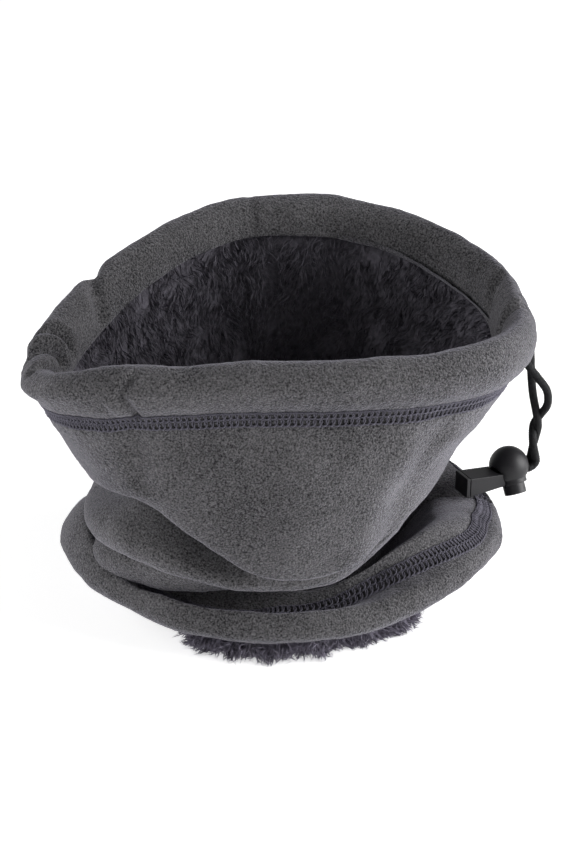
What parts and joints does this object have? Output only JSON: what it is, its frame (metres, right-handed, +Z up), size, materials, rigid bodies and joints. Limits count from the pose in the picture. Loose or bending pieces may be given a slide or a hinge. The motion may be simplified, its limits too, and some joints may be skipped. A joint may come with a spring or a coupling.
{
  "type": "neck gaiter",
  "caption": "Plush-lined fleece tube for the neck, scrunched down on its hem, with a rolled drawcord rim and a ball cord lock hanging from it.",
  "frame": {"origin": "middle of the cloth's footprint, on the surface that the hem stands on", "axes": "+Z up through the neck opening, -Y towards the front with the deep fold, +X towards the end where the cords come out"},
  "size_m": [0.2212, 0.155, 0.149],
  "materials": {
    "fleece": "brushed grey fleece, matt and slightly fuzzy",
    "plush": "dark grey faux-fur pile, soft streaks",
    "thread": "dark grey textured sewing thread",
    "cord": "black braided polyester cord",
    "lock_plastic": "black moulded plastic, satin",
    "spring_steel": "bright spring wire"
  },
  "bodies": {
    "base": {"lower_shell": "fleece", "lower_lining": "plush", "hem_cover_stitch": "thread", "lower_seam_allowance": "fleece"},
    "collar": {"upper_shell": "fleece", "upper_lining": "plush", "rim_cover_stitch": "thread", "upper_seam_allowance": "fleece", "drawcord": "cord", "cord_exit_stitching_back": "thread", "cord_exit_stitching_front": "thread"},
    "lock": {"cord_tail_straight": "cord", "cord_tail_slack": "cord", "lock_body": "lock_plastic", "lock_spring": "spring_steel"},
    "plunger": {"lock_plunger": "lock_plastic"},
    "cord_end": {"cord_end_body": "lock_plastic", "cord_end_cap": "lock_plastic", "cord_end_knot": "cord", "cord_run_straight": "cord", "cord_run_slack": "cord"}
  },
  "joints": [
    {"name": "collar_pull_up", "type": "slide", "parent": "base", "child": "collar", "axis": [0, 0, 1], "range_m": [0, 0.045]},
    {"name": "lock_swing", "type": "hinge", "parent": "collar", "child": "lock", "pos_m": [0.09249, 0.02278, 0.12072], "axis": [0.4812, -0.8694, -0.112], "range_deg": [0, 45]},
    {"name": "plunger_press", "type": "slide", "parent": "lock", "child": "plunger", "axis": [-0.25, 0.433, 0.866], "range_m": [0, 0.002], "stiffness_N_per_m": 400, "springref_m": -0.003, "deforming": ["lock_spring"]},
    {"name": "cord_pull", "type": "slide", "parent": "lock", "child": "cord_end", "axis": [-0.866, -0.5, 0], "range_m": [0, 0.006]}
  ]
}
